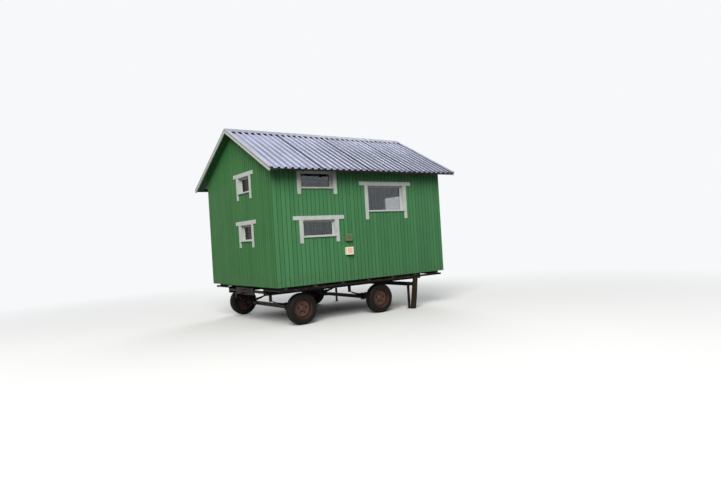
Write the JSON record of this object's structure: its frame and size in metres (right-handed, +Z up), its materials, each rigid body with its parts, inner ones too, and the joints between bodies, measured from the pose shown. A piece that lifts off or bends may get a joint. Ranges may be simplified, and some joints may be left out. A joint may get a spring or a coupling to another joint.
{
  "type": "shepherds hut",
  "caption": "Small timber-clad hut with a gabled ribbed metal roof, framed windows and a door, carried on a wheeled steel undercarriage with leg and prop supports.",
  "frame": {"origin": "on the ground, under the middle of the roof's outline", "axes": "+X along the ridge, away from the gable seen in the picture; -Y out of the long wall with three windows; +Z up"},
  "size_m": [4.58, 3.9004, 4.0187],
  "materials": {
    "green_boards": "painted, slightly weathered",
    "white_trim": "painted",
    "timber": "sawn",
    "weathered_timber": "sawn, weathered",
    "box_wood": "painted",
    "roof_sheet": "coated zinc grey",
    "white_metal": "coated",
    "black_steel": "painted, worn",
    "rim_paint": "painted",
    "tyre_rubber": "matt",
    "pane_glass": "clear"
  },
  "bodies": {
    "root": {"floor_deck": "timber", "wall_front": "green_boards", "wall_back": "green_boards", "gable_left": "green_boards", "gable_right": "green_boards", "casing_low": "white_trim", "casing_high": "white_trim", "casing_wide": "white_trim", "casing_left_low": "white_trim", "casing_left_high": "white_trim", "casing_right": "white_trim", "casing_back_low": "white_trim", "casing_back_high": "white_trim", "sashes_front": "white_trim", "sashes_left": "white_trim", "sashes_right": "white_trim", "sashes_back": "white_trim", "panes_front": "pane_glass", "panes_left": "pane_glass", "panes_right": "pane_glass", "panes_back": "pane_glass", "door_casing": "white_trim", "door_leaf": "green_boards", "door_handle": "black_steel", "roof_front": "roof_sheet", "roof_back": "roof_sheet", "ridge_cap": "roof_sheet", "verge_flashings": "white_metal", "barge_boards": "white_trim", "verge_soffits": "green_boards", "rafters": "timber", "battens": "timber", "bearers": "timber", "edge_rails": "black_steel", "main_beams": "black_steel", "cross_members": "black_steel", "coupling": "black_steel", "bolster": "black_steel", "axles": "black_steel", "springs": "black_steel", "tyres": "tyre_rubber", "rims": "rim_paint", "steel_legs": "black_steel", "timber_prop": "weathered_timber", "wall_box": "box_wood", "upper_box": "weathered_timber"}
  },
  "joints": []
}
